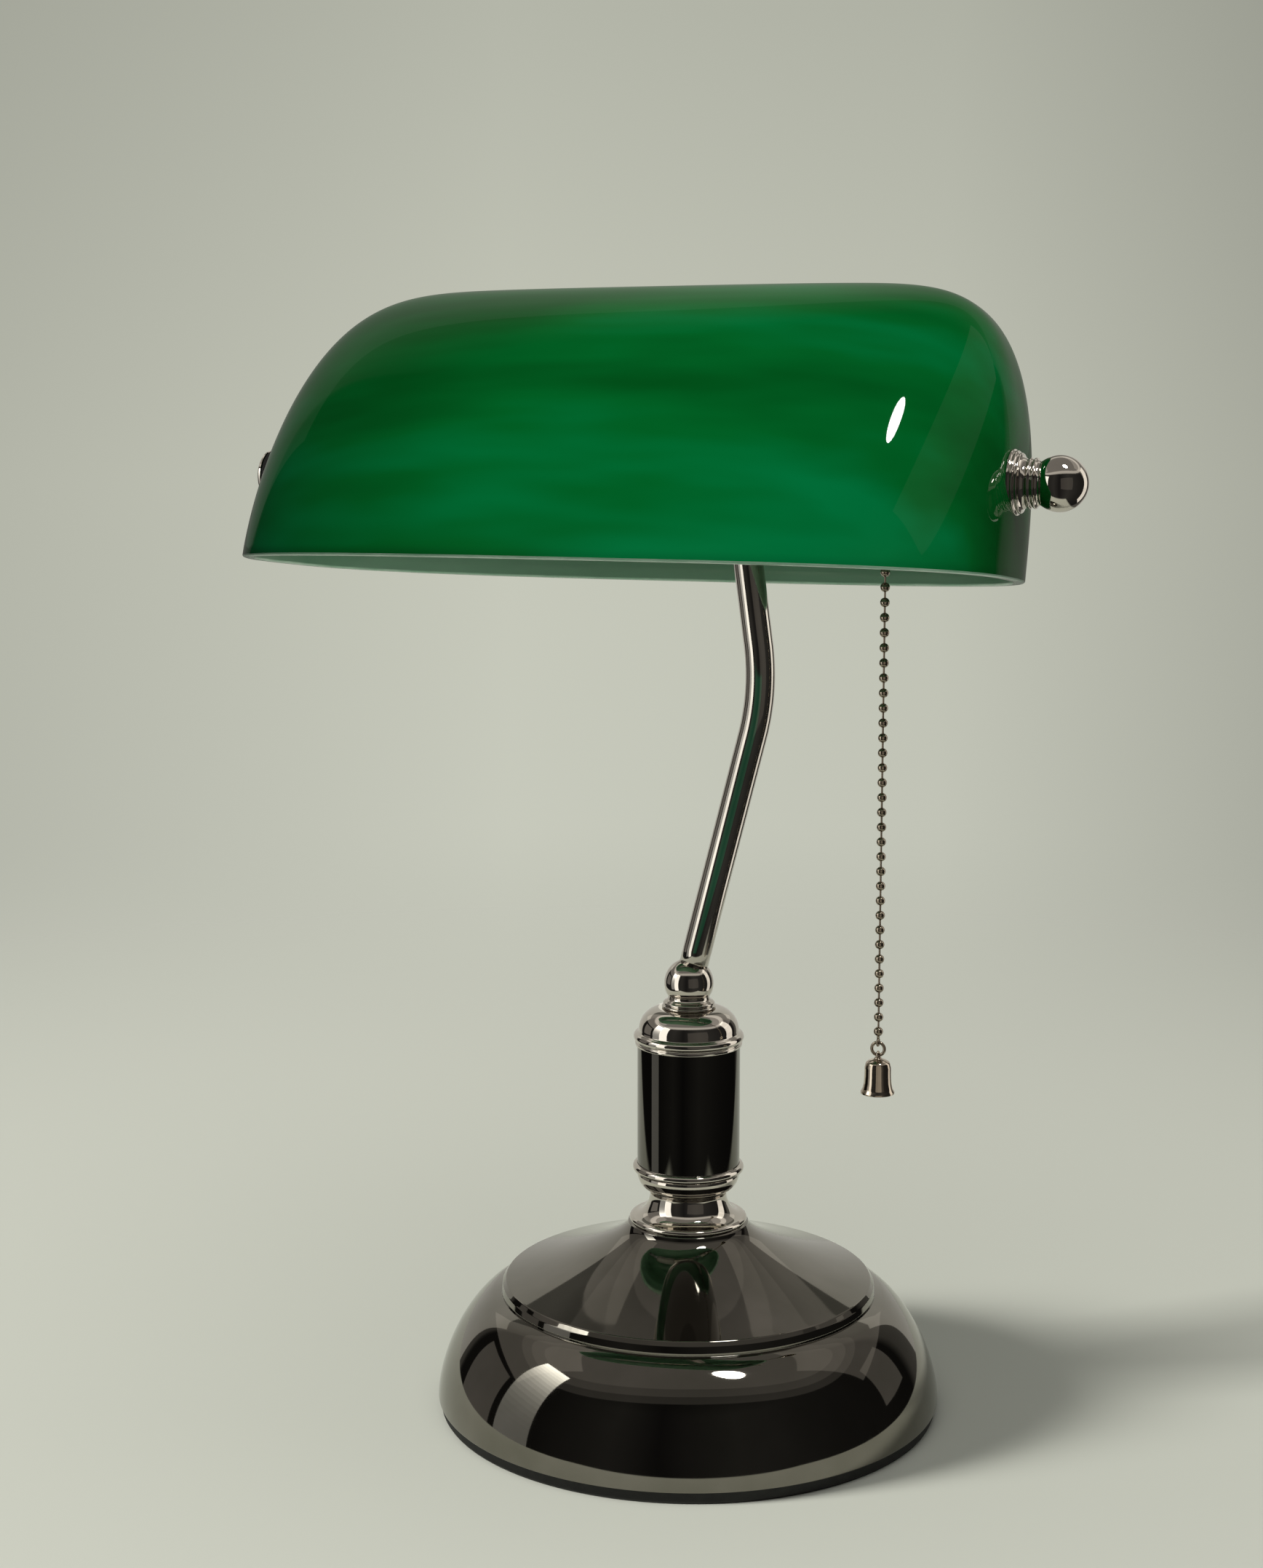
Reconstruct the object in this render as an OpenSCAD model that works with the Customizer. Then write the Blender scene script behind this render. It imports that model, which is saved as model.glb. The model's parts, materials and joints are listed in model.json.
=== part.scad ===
// Banker desk lamp: weighted round base, short column, bent stem and a tilting glass shade.
// Millimetres, +Z up. The origin is where the column's axis meets the table. The lamp's front is -Y.

/* [Base] */
// Radius of the base at its rolled rim
base_r = 88.1; // [85:0.1:92]
// Height of the base's top land, where the column stands
base_h = 66; // [62:1:70]
// Height of the rubber foot
foot_h = 4.2; // [4:0.1:5]
// Radius at the edge of the base's raised centre
step_r = 66.2; // [62:0.5:68]
// Height at which the raised centre meets the lower dome
step_h = 41; // [39:0.5:43]
// Wall of the spun metal base
base_wall = 1.4; // [1:0.1:2]

/* [Column] */
// Radius of the black column tube
tube_r = 17.9; // [16:0.1:20]
// Radius of the swivel ball above the column
ball_r = 8.55; // [8:0.05:9.5]

/* [Stem] */
// Radius of the stem tube
stem_r = 5; // [4.5:0.1:5.5]
// Lean of the stem's lower leg from vertical, in degrees
lean_low = 14.5; // [10:0.5:18]
// Lean of the upper leg the other way, in degrees
lean_high = 7.9; // [5:0.1:10]
// Height of the bend's start above the ball's centre
bend_start = 87.4; // [80:1:95]
// Radius of the bend's centre line
bend_r = 80; // [60:1:100]

/* [Shade] */
// Length of the glass shade
shade_len = 268; // [250:1:290]
// Width of the shade across its rim, front to back
shade_wid = 146; // [136:1:156]
// Height of the shade from rim to top
shade_h = 100.3; // [96:0.1:106]
// Thickness of the glass
glass_t = 3.6; // [3:0.1:4.5]
// Height of the tilt axis above the table
axis_z = 323.7; // [318:0.1:330]
// Height of the tilt axis above the rim
axis_up = 30.2; // [28:0.1:33]
// How far the shade's middle lies to the left of the column
shade_off = 25.5; // [20:0.5:30]
// Lift of the front rim at rest, in degrees
rest_tilt = 6.2; // [0:0.1:10]
// How far the top leans to the rear, as a part of the height
back_lean = 0.336; // [0.25:0.001:0.4]

/* [Pull chain] */
// Distance of the chain to the right of the column
chain_x = 68; // [62:0.5:74]
// Distance from bead to bead
bead_pitch = 4.984; // [4.6:0.001:5.4]
// Radius of a bead
bead_r = 1.6; // [1.3:0.05:1.8]
// Number of beads below the coupling
bead_count = 33; // [24:1:34]

/* [Hidden] */
$fn = 96;

// Heights up the column
waist_z = base_h + 10.4;
cup_seat = base_h + 18;
rim_z = cup_seat + 1.5;
cap_z = cup_seat + 45.2;
neck_z = cap_z + 13.1;
ball_z = neck_z + 9.3;
rod_r = 4.8;
rod_bore = 3.3;
fit = 0.05;

// Base: curve exponents of its dome
dome_p = 1.6;
dome_q = 1.547;

// Stem: ends of its three stretches, measured along the lower leg and in the lamp's frame
bend_deg = lean_low + lean_high;
stem_seat = 4.6;
bend_x = bend_start * tan(lean_low) + bend_r * (cos(lean_high) - cos(lean_low));
bend_z = ball_z + bend_start + bend_r * (sin(lean_low) + sin(lean_high));
hub_x = bend_x - (axis_z - bend_z) * tan(lean_high);
high_len = (axis_z - 10 - bend_z) / cos(lean_high);

// Shade: curve exponents of its plan, its ends and its front-to-back section
plan_e = 2.93;
end_n = 2.47;
end_m = 8.3;
side_n = 1.72;
side_p = 1.95;
lean_q = 1.11;
top_t = 0.998;
rings = 20;
sides = 72;

// Tilt pivots, measured from the shade's middle
stud_r = 3;
bush_r = 5;
tab_in = 124;
tab_t = 2;
washer_in = tab_in + tab_t + 0.3;
knob_face = shade_len / 2 + 0.35;
nut_h = 2.2;
yoke_w = 12;
yoke_up = 22;

// Socket, bulb and switch along the tilt axis, measured from the hub
hub_half = 11;
shell_r = 15.4;
screw_r = 13;
bulb_r = 15;
bulb_end = 128;
switch_x = chain_x - hub_x;
switch_r = 15;
guide_low = axis_z - 21.7;
pivot_z = guide_low + 2.4;

// Bead chain, end ring and bell
first_bead = pivot_z - 5;
last_bead = first_bead - (bead_count - 1) * bead_pitch;
link_r = 0.45;
ring_R = 2.2;
ring_wire = 0.55;
ring_z = last_bead - bead_r - 1.7 - ring_R - ring_wire + 0.1;
eye_R = 1.1;
bell_top = ring_z - ring_R - eye_R - 0.2;
bell_h = 11.9;

// ---- shared shapes ----

// Points along a circle's arc about c from angle a to b
function arc(c, r, a, b, n = 8) = [
    for (i = [0:n]) let (t = a + (b - a) * i / n) c + r * [cos(t), sin(t)]
];

// Points along a quarter of an ellipse about c with half-axes rx and rz
function oval(c, rx, rz, a, b, n = 8) = [
    for (i = [0:n]) let (t = a + (b - a) * i / n) c + [rx * cos(t), rz * sin(t)]
];

// A line of points moved sideways to its right by w
function beside(p, w) = [
    for (i = [0:len(p) - 1])
        let (
            d = p[min(i + 1, len(p) - 1)] - p[max(i - 1, 0)],
            u = d / norm(d)
        )
        p[i] + w * [u.y, -u.x]
];

function reversed(p) = [for (i = [len(p) - 1:-1:0]) p[i]];

// A round bar or bore along X that starts at x
module bar_x(x, r, h) {
    translate([x, 0, 0]) rotate([0, 90, 0]) cylinder(r = r, h = h);
}

// A turned piece whose axis is X: the outline is given as distance along X and radius
module turned_x(outline) {
    rotate([0, 90, 0]) rotate_extrude() polygon([for (p = outline) [p.y, p.x]]);
}

// A pipe about Z
module pipe(r, bore, z, h) {
    translate([0, 0, z]) difference() {
        cylinder(r = r, h = h);
        translate([0, 0, -1]) cylinder(r = bore, h = h + 2);
    }
}

// Rings of n points round a path, each turned to the path's direction there
function path_rings(path, r, n) = [
    for (i = [0:len(path) - 1])
        let (
            d = path[min(i + 1, len(path) - 1)] - path[max(i - 1, 0)],
            w = d / norm(d),
            h = abs(w.y) > 0.9 ? [1, 0, 0] : [0, 1, 0],
            u = cross(h, w) / norm(cross(h, w)),
            v = cross(w, u)
        )
        for (k = [0:n - 1]) path[i] + r * (u * cos(360 * k / n) + v * sin(360 * k / n))
];

// Triangles of the skin between m rings of n points, counted from point first
function skin_faces(m, n, first = 0) = [
    for (i = [0:m - 2], k = [0:n - 1])
        let (a = first + i * n + k, b = first + i * n + (k + 1) % n)
        each [[a, a + n, b], [b, a + n, b + n]]
];

function flipped(faces) = [for (f = faces) reversed(f)];

// A solid bar of n sides swept through the points of path
module swept(path, r, n = 8) {
    m = len(path);
    polyhedron(
        points = path_rings(path, r, n),
        faces = concat(
            skin_faces(m, n),
            [[for (k = [0:n - 1]) k], [for (k = [n - 1:-1:0]) (m - 1) * n + k]]
        ),
        convexity = 6
    );
}

// A tube of n sides swept through the points of path
module swept_tube(path, r, bore, n) {
    m = len(path);
    inner = m * n;
    polyhedron(
        points = concat(path_rings(path, r, n), path_rings(path, bore, n)),
        faces = concat(
            skin_faces(m, n),
            flipped(skin_faces(m, n, inner)),
            [for (k = [0:n - 1])
                let (j = (k + 1) % n)
                each [[k, j, inner + j], [k, inner + j, inner + k]]],
            [for (k = [0:n - 1])
                let (a = (m - 1) * n + k, b = (m - 1) * n + (k + 1) % n)
                each [[b, a, inner + a], [b, inner + a, inner + b]]]
        ),
        convexity = 8
    );
}

// Frame of the socket, switch and bulb: origin at the hub's centre
module at_hub() {
    translate([hub_x, 0, axis_z]) children();
}

// Frame of the tilt pivots: origin on the tilt axis in the middle of the shade
module at_pivots() {
    translate([-shade_off, 0, axis_z]) children();
}

// Both ends of the shade: the right one as drawn and the left one mirrored
module both_ends() {
    at_pivots() {
        children();
        mirror([1, 0, 0]) children();
    }
}

// ---- base ----

// Outer line of the base from the land under the column down to the rolled rim
function base_line() = concat(
    [for (i = [0:10]) let (u = i / 10) [21 + (step_r - 23.7) * pow(u, 1.6), base_h - 20.1 * u]],
    [[step_r - 1.9, base_h - 20.5], [step_r - 0.9, base_h - 22], [step_r - 0.4, step_h + 1.2]],
    [[step_r - 0.4, step_h + 0.3]],
    [for (i = [0:16])
        let (w = 1 - pow(1 - i / 16, 1.5))
        [step_r + (base_r - step_r) * pow(1 - pow(1 - w, dome_p), 1 / dome_q),
            step_h - (step_h - foot_h - 0.6) * w]],
    arc([base_r - 0.6, foot_h + 0.6], 0.6, -30, -90, 2)
);

module base_shell() {
    line = base_line();
    color("dimgray") difference() {
        rotate_extrude() polygon(concat(
            [[rod_r + 0.2, base_h]],
            line,
            reversed([for (p = beside(line, base_wall)) if (p.y > foot_h + 1.7) p]),
            [[rod_r + 0.2, base_h - base_wall]]
        ));
        translate([0, base_r - 20, 14]) rotate([-90, 0, 0]) cylinder(r = 6.3, h = 30);
    }
}

module rubber_foot() {
    color("black") difference() {
        cylinder(r = base_r - 1.1, h = foot_h);
        translate([0, 0, -1]) cylinder(r = base_r - 12.3, h = foot_h + 2);
    }
}

module bottom_plate() {
    color("gray") pipe(base_r - 3.2, rod_r + 0.2, foot_h, 1.5);
}

module base_weight() {
    low = foot_h + 1.5;
    color("darkslategray") difference() {
        translate([0, 0, low]) cylinder(r1 = base_r - 9, r2 = step_r - 2, h = 24);
        translate([0, 0, low - 1]) cylinder(r = rod_r + 1.5, h = 26);
        translate([-9, 0, low - 1]) cube([18, base_r, 18]);
    }
}

module cord_gland() {
    color("black") translate([0, 0, 14]) rotate([-90, 0, 0]) difference() {
        union() {
            translate([0, 0, base_r - 14]) cylinder(r = 6.25, h = 12.5);
            translate([0, 0, base_r - 15.5]) cylinder(r = 7.2, h = 2.5);
        }
        translate([0, 0, base_r - 20]) cylinder(r = 3.2, h = 30);
    }
}

module lock_nut() {
    color("silver") difference() {
        translate([0, 0, foot_h - 3.8]) cylinder(r = 9, h = 2.9, $fn = 6);
        cylinder(r = rod_r, h = 30, center = true);
    }
}

module lock_washer() {
    color("silver") pipe(11, rod_r + 0.2, foot_h - 0.9, 0.9);
}

module tie_rod() {
    color("goldenrod") difference() {
        translate([0, 0, 0.6]) cylinder(r = rod_r, h = ball_z + 1.6);
        cylinder(r = rod_bore, h = 400, center = true);
        translate([0, 0, ball_z - 2.3]) difference() {
            cylinder(r = rod_r + 1, h = 3.6);
            cylinder(r = rod_r - 0.7, h = 3.6);
        }
        translate([-2.6, 0, 6]) cube([5.2, 10, 12]);
    }
}

// ---- column ----

module pedestal() {
    color("silver") rotate_extrude() polygon(concat(
        [[rod_r + 0.2, base_h], [19.9, base_h]],
        arc([19.5, base_h + 1.1], 1.05, -60, 75, 6),
        oval([20, base_h + 10], 6.6, 7.8, 268, 180, 9),
        [[13.4, waist_z - 0.2], [12.6, waist_z], [rod_r + 0.2, waist_z]]
    ));
}

module tube_cup() {
    bead = [tube_r, rim_z];
    color("silver") rotate_extrude() polygon(concat(
        [[rod_r + 0.2, waist_z], [12.9, waist_z], [13.1, waist_z + 0.7], [14, waist_z + 0.9]],
        oval([12.6, cup_seat - 0.6], 5.2, 6, -62, -2, 7),
        [[tube_r - 0.4, cup_seat - 0.1]],
        arc(bead, 1.5, -75, 85, 8),
        [[tube_r + 0.1, rim_z + 1.4], [tube_r + 0.1, cup_seat], [rod_r + 0.2, cup_seat]]
    ));
}

module column_tube() {
    color([0.13, 0.13, 0.13]) pipe(tube_r, tube_r - 1.5, cup_seat, 46.8);
}

module column_cap() {
    bead = [tube_r - 0.3, cap_z + 3];
    shoulder = [9.5, cap_z + 5.2];
    color("silver") rotate_extrude() polygon(concat(
        [[tube_r + 0.1, cap_z], [tube_r + 0.6, cap_z + 0.1], [tube_r + 0.7, cap_z + 0.9]],
        [[tube_r + 0.4, cap_z + 1.2]],
        arc(bead, 1.6, -60, 62, 8),
        [[tube_r - 0.5, cap_z + 4.9]],
        oval(shoulder, 7.9, 7.9, 6, 90, 10),
        [[rod_r + fit, neck_z], [rod_r + fit, neck_z - 1.8]],
        reversed(oval([9.5, cap_z + 5], 6.2, 6.2, 0, 90, 6)),
        [[15.7, cap_z + 1.6], [tube_r + 0.1, cap_z + 1.6]]
    ));
}

module neck_ring() {
    color("silver") translate([0, 0, neck_z]) rotate_extrude() polygon(concat(
        [[rod_r, 0], [9.1, 0]],
        arc([8.85, 0.55], 0.5, -60, 60, 5),
        [[8.75, 1.15]],
        arc([8.45, 1.75], 0.5, -60, 70, 5),
        oval([9.3, 4.3], 2.25, 2, 250, 180, 6),
        [[rod_r, 4.3]]
    ));
}

// ---- swivel ball and stem ----

// Frame along the stem's lower leg: origin at the ball's centre
module along_stem() {
    translate([0, 0, ball_z]) rotate([0, lean_low, 0]) children();
}

// Centre of the bend's arc, and a point on the stem's centre line at a turn of a from its start
bend_c = [
    bend_start * tan(lean_low) - bend_r * cos(lean_low), 0,
    ball_z + bend_start + bend_r * sin(lean_low)
];
function bend_at(a) = bend_c + bend_r * [cos(lean_low - a), 0, -sin(lean_low - a)];

// The stem's centre line from s above the ball's centre up to h above the bend's end
function stem_path(s, h, steps) = concat(
    [[s * sin(lean_low), 0, ball_z + s * cos(lean_low)]],
    [for (i = [0:steps]) bend_at(bend_deg * i / steps)],
    [[bend_x - h * sin(lean_high), 0, bend_z + h * cos(lean_high)]]
);

module swivel_ball() {
    color("silver") difference() {
        translate([0, 0, ball_z]) sphere(r = ball_r);
        translate([-20, -20, ball_z - 24.8]) cube([40, 40, 20]);
        translate([0, 0, ball_z - 10]) cylinder(r = rod_r + fit, h = 12.6);
        along_stem() translate([0, 0, stem_seat]) cylinder(r = stem_r, h = 10);
        along_stem() cylinder(r = rod_bore, h = 10);
        translate([0, 4, ball_z - 0.5]) rotate([-90, 0, 0]) cylinder(r = 1.5, h = 6);
    }
}

module ball_grub_screw() {
    color("dimgray") translate([0, rod_r - 0.5, ball_z - 0.5]) rotate([-90, 0, 0]) difference() {
        cylinder(r = 1.5, h = 3.6);
        translate([0, 0, 2.4]) cylinder(r = 0.8, h = 2, $fn = 6);
    }
}

module stem_tube() {
    color("silver") swept_tube(stem_path(stem_seat, high_len, 12), stem_r, stem_r - 1, 36);
}

// ---- hub and yoke ----

// Frame of the hub's lower boss, which points down the stem's upper leg
module hub_boss() {
    at_hub() rotate([0, 180 - lean_high, 0]) children();
}

module hub() {
    color("silver") difference() {
        union() {
            at_hub() bar_x(-hub_half, 8.5, 2 * hub_half);
            hub_boss() cylinder(r = 7.5, h = 17);
            at_hub() cylinder(r = 6, h = yoke_up - 1);
        }
        hub_boss() translate([0, 0, 10]) cylinder(r = stem_r, h = 10);
        hub_boss() cylinder(r = 3.5, h = 12);
        at_hub() bar_x(-hub_half - 1, rod_r, 7);
        at_hub() bar_x(hub_half - 6, rod_r, 7);
        at_hub() bar_x(-hub_half, 3.2, 2 * hub_half);
        at_hub() translate([0, 0, yoke_up - 9]) cylinder(r = 2, h = 10);
        hub_boss() translate([0, 0, 13]) rotate([90, 0, 0]) cylinder(r = 1.5, h = 10);
    }
}

module hub_set_screw() {
    color("dimgray") hub_boss() translate([0, -stem_r, 13]) rotate([90, 0, 0]) difference() {
        cylinder(r = 1.5, h = 2.3);
        translate([0, 0, 1.2]) cylinder(r = 0.8, h = 2, $fn = 6);
    }
}

// Strip of bent steel seen from the front: tabs at the pivots, slopes and a straight top
module yoke() {
    path = [
        [-tab_in, -8], [-tab_in, 8], [-tab_in + 15, yoke_up - 1],
        [tab_in - 15, yoke_up - 1], [tab_in, 8], [tab_in, -8]
    ];
    color("silver") difference() {
        at_pivots() rotate([90, 0, 0]) linear_extrude(height = yoke_w, center = true)
            polygon(concat(path, reversed(beside(path, -tab_t))));
        at_hub() cylinder(r = 2.2, h = 60);
        at_pivots() bar_x(-200, stud_r, 400);
    }
}

module yoke_screw() {
    color("silver") at_hub() difference() {
        union() {
            translate([0, 0, yoke_up - 8]) cylinder(r = 2, h = 9.1);
            translate([0, 0, yoke_up + 1.05]) cylinder(r1 = 4, r2 = 3.2, h = 2);
        }
        translate([-5, -0.5, yoke_up + 2.1]) cube([10, 1, 2]);
    }
}

module stud(length) {
    bar_x(tab_in - 1.5, bush_r, 1.5);
    bar_x(tab_in - 0.5, stud_r, length);
}

module shade_studs() {
    color("silver") at_pivots() {
        stud(knob_face - tab_in + 9);
        mirror([1, 0, 0]) stud(knob_face - tab_in + nut_h + 0.4);
    }
}

// ---- glass shade ----

// One ring of the shade at height part t, for half-length a, half-width b and height h
function shade_ring(a, b, h, t) =
    let (
        ax = a * pow(1 - pow(t, end_n), 1 / end_m),
        by = b * pow(1 - pow(t, side_n), 1 / side_p)
    )
    [for (k = [0:sides - 1])
        let (c = cos(360 * k / sides), s = sin(360 * k / sides))
        [
            ax * sign(c) * pow(abs(c), 2 / plan_e),
            by * sign(s) * pow(abs(s), 2 / plan_e) + back_lean * shade_h * pow(t, lean_q),
            h * t
        ]];

// The wall of glass between an outer and an inner skin, each a stack of rings closed at the top
module shade_wall() {
    steps = [for (i = [0:rings]) let (u = i / rings) top_t * (1 - pow(1 - u, 2.2))];
    outer = [for (t = steps) each shade_ring(shade_len / 2, shade_wid / 2, shade_h, t)];
    inner = [for (t = steps)
        each shade_ring(shade_len / 2 - glass_t, shade_wid / 2 - glass_t, shade_h - glass_t, t)];
    n = sides;
    m = len(outer);
    skin = [for (i = [0:rings - 1], k = [0:n - 1])
        let (a = i * n + k, b = i * n + (k + 1) % n)
        each [[a, a + n, b + n], [a, b + n, b]]];
    polyhedron(
        points = concat(outer, inner),
        faces = concat(
            skin,
            [for (f = skin) [f[2] + m, f[1] + m, f[0] + m]],
            [[for (k = [n - 1:-1:0]) rings * n + k]],
            [[for (k = [0:n - 1]) m + rings * n + k]],
            [for (k = [0:n - 1]) let (j = (k + 1) % n) each [[k, j, m + j], [k, m + j, m + k]]]
        ),
        convexity = 6
    );
}

module glass_shade() {
    color([0, 0.35, 0.17, 0.9]) difference() {
        at_pivots() rotate([-rest_tilt, 0, 0]) translate([0, 0, -axis_up]) shade_wall();
        both_ends() bar_x(tab_in, bush_r, 20);
    }
}

// A washer or bush on both pivots
module pivot_rings(x, r, bore, h) {
    both_ends() difference() {
        bar_x(x, r, h);
        bar_x(x - 1, bore, h + 2);
    }
}

module shade_bushes() {
    color("ivory") pivot_rings(washer_in + 0.2, bush_r, stud_r + fit, knob_face - washer_in - 0.6);
}

module inner_washers() {
    color("black") pivot_rings(washer_in, 8, bush_r, 3.1);
}

module outer_washers() {
    color("black") pivot_rings(knob_face - 2.3, 9, bush_r, 2.05);
}

// A knob turned from bar: flange, falling ridges, two small rings, neck and ball
module knob() {
    ball_at = 16.05;
    difference() {
        turned_x(concat(
            [[0, 0], [0, 10.4]],
            reversed(arc([0.75, 10.35], 0.65, 40, 180, 6)),
            [[1.7, 10.3]],
            reversed(arc([2.3, 9.9], 0.55, 30, 150, 5)),
            [[3.1, 9.5]],
            reversed(arc([3.6, 9.2], 0.5, 20, 150, 5)),
            [[4.3, 8.6], [5.2, 8], [6, 7.75]],
            reversed(arc([6.8, 7.7], 0.5, 20, 160, 5)),
            [[7.6, 7.6]],
            reversed(arc([8.5, 7.6], 0.6, 10, 160, 5)),
            [[9.5, 7.2]],
            reversed(arc([ball_at, 0], 9.15, 0, 128.5, 16))
        ));
        bar_x(-1, stud_r + fit, 10.4);
    }
}

module knob_right() {
    color("silver") at_pivots() translate([knob_face, 0, 0]) knob();
}

// A thin round nut in place of a knob, with two holes for a pin spanner
module end_nut() {
    color("silver") at_pivots() mirror([1, 0, 0]) translate([knob_face, 0, 0]) difference() {
        turned_x([
            [0, 0], [0, 9], [0.2, 9.2], [0.8, 9.1], [1.3, 8.7], [1.8, 8.1], [nut_h, 7.2], [nut_h, 0]
        ]);
        bar_x(-1, stud_r + fit, nut_h + 2);
        for (k = [-1, 1]) translate([0, 0, 5.4 * k]) bar_x(nut_h - 1.4, 0.8, 2);
    }
}

// ---- socket and bulb, pointing left from the hub ----

// Shapes below are drawn to the right and turned over to point left
module leftward() {
    at_hub() mirror([1, 0, 0]) children();
}

module socket_nipple() {
    color("goldenrod") leftward() difference() {
        bar_x(hub_half - 6, rod_r, 13);
        bar_x(0, 3.2, 30);
    }
}

module socket_cap() {
    color("silver") leftward() turned_x(concat(
        [[hub_half + 0.2, rod_r], [hub_half + 0.2, 8.5]],
        reversed(arc([hub_half + 8.2, 8.5], 8, 90, 180, 8)),
        [[hub_half + 17, 16.5], [hub_half + 17, 15.5]],
        arc([hub_half + 8.2, 8.5], 7, 90, 180, 8),
        [[hub_half + 1.2, rod_r]]
    ));
}

module socket_shell() {
    color("silver") leftward() difference() {
        union() {
            bar_x(hub_half + 9, shell_r, 39);
            bar_x(hub_half + 46, shell_r + 0.9, 2);
        }
        bar_x(hub_half, shell_r - 0.7, 60);
    }
}

module socket_liner() {
    color("saddlebrown") leftward() difference() {
        bar_x(hub_half + 13, shell_r - 0.8, 34);
        bar_x(hub_half, shell_r - 1.5, 60);
    }
}

module socket_block() {
    color([0.15, 0.1, 0.08]) leftward() difference() {
        bar_x(hub_half + 13, shell_r - 1.6, 10);
        bar_x(hub_half, 2.5, 60);
    }
}

module screw_shell() {
    color("gold") leftward() difference() {
        bar_x(hub_half + 23, screw_r + 0.6, 22);
        bar_x(hub_half, screw_r + 0.1, 60);
    }
}

module centre_contact() {
    color("gold") leftward() {
        bar_x(hub_half + 23, 4, 0.6);
        bar_x(hub_half + 23.5, 2, 1);
    }
}

module bulb_base() {
    start = hub_half + 24.6;
    color("silver") leftward() difference() {
        union() {
            bar_x(start, 4.5, 2);
            translate([start + 2, 0, 0]) rotate([0, 90, 0]) cylinder(r1 = 6, r2 = 12, h = 4);
            bar_x(start + 6, 12, 17.4);
            for (i = [0:4]) turned_x([
                [start + 6 + 3.4 * i, 11], [start + 7 + 3.4 * i, screw_r],
                [start + 8.4 + 3.4 * i, screw_r], [start + 9.4 + 3.4 * i, 11]
            ]);
        }
        bar_x(start + 10, 11.2, 30);
    }
}

module bulb_glass() {
    neck = hub_half + 44;
    color([0.95, 0.95, 0.9, 0.6]) leftward() turned_x(concat(
        [[neck, 11.1], [neck + 4, 11.1], [neck + 12, bulb_r - 0.2]],
        reversed(arc([bulb_end - bulb_r, 0], bulb_r, 0, 88, 12)),
        arc([bulb_end - bulb_r, 0], bulb_r - 0.9, 0, 88, 12),
        [[neck + 12, bulb_r - 1.1], [neck + 4, 10.2], [neck, 10.2]]
    ));
}

module bulb_filaments() {
    neck = hub_half + 40;
    color("gold") leftward() {
        bar_x(neck, 3, 18);
        bar_x(neck + 14, 0.6, 46);
        for (a = [45:90:315]) rotate([a, 0, 0]) translate([0, 0, 5]) {
            bar_x(neck + 17, 0.9, 38);
            translate([neck + 17.5, 0, -5]) cylinder(r = 0.4, h = 5);
            translate([neck + 54.5, 0, -5]) cylinder(r = 0.4, h = 5);
        }
    }
}

// ---- pull-chain switch, to the right of the hub ----

module switch_nipple() {
    color("silver") at_hub() difference() {
        bar_x(hub_half - 6, rod_r, switch_x - hub_half - 8);
        bar_x(0, 3.2, 60);
    }
}

module switch_housing() {
    color("silver") at_hub() difference() {
        bar_x(switch_x - 18, switch_r, 33);
        bar_x(switch_x - 16.5, switch_r - 1.5, 40);
        bar_x(switch_x - 30, rod_r, 30);
        translate([switch_x, 0, -20]) cylinder(r = 3.6, h = 10);
    }
}

module switch_cover() {
    color("silver") at_hub() difference() {
        union() {
            bar_x(switch_x + 15, switch_r, 1.5);
            bar_x(switch_x + 12, switch_r - 1.5, 3.5);
        }
        bar_x(switch_x + 11, switch_r - 2.8, 4);
    }
}

module switch_contacts() {
    color("gold") at_hub() {
        translate([switch_x - 13, -3, 4]) cube([6, 6, 1]);
        translate([switch_x + 6, -3, 4]) cube([6, 6, 1]);
        translate([switch_x - 13, -4, -4]) cube([2, 8, 8.2]);
        translate([switch_x + 10, -4, -4]) cube([2, 8, 8.2]);
    }
}

module chain_guide() {
    color("silver") translate([chain_x, 0, guide_low]) rotate_extrude() polygon(concat(
        [[5, 0], [5.2, 0.5], [4.6, 1.4], [4.2, 2.8], [4.2, 6.5], [3.55, 6.5], [3.55, 9.6]],
        [[3, 9.6], [3, 1], [3.6, 0.2], [4.4, 0]]
    ));
}

module pull_plunger() {
    color("silver") translate([chain_x, 0, 0]) {
        translate([0, 0, axis_z + 1]) cylinder(r = 5, h = 2.4);
        translate([0, 0, pivot_z + 1.9]) cylinder(r = 1, h = axis_z + 1.2 - pivot_z - 1.9);
        translate([0, 0, pivot_z + 1.7]) cylinder(r = 2.2, h = 1.2);
    }
}

// Five turns of wire between the housing's floor and the plunger's disc
module return_spring() {
    low = axis_z - switch_r + 2.5;
    high = axis_z + 0.5;
    turns = 5;
    color("silver") swept([
        for (i = [0:60])
            let (a = 360 * turns * i / 60)
            [chain_x + 4.1 * cos(a), 4.1 * sin(a), low + (high - low) * i / 60]
    ], 0.35, 6);
}

module chain_coupling() {
    color("dimgray") translate([chain_x, 0, pivot_z]) sphere(r = bead_r - 0.1, $fn = 32);
}

module bead_chain() {
    color("dimgray") translate([chain_x, 0, 0]) {
        for (i = [0:bead_count - 1])
            translate([0, 0, first_bead - i * bead_pitch]) sphere(r = bead_r, $fn = 32);
        translate([0, 0, last_bead - bead_r - 1.3])
            cylinder(r = link_r, h = pivot_z - bead_r - 0.1 - last_bead + bead_r + 1.3, $fn = 24);
        translate([0, 0, ring_z + ring_R]) rotate([0, 90, 0])
            rotate_extrude($fn = 32) translate([eye_R, 0]) circle(r = 0.4, $fn = 24);
    }
}

module end_ring() {
    color("dimgray") translate([chain_x, 0, ring_z]) rotate([90, 0, 0])
        rotate_extrude($fn = 48) translate([ring_R, 0]) circle(r = ring_wire, $fn = 24);
}

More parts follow.
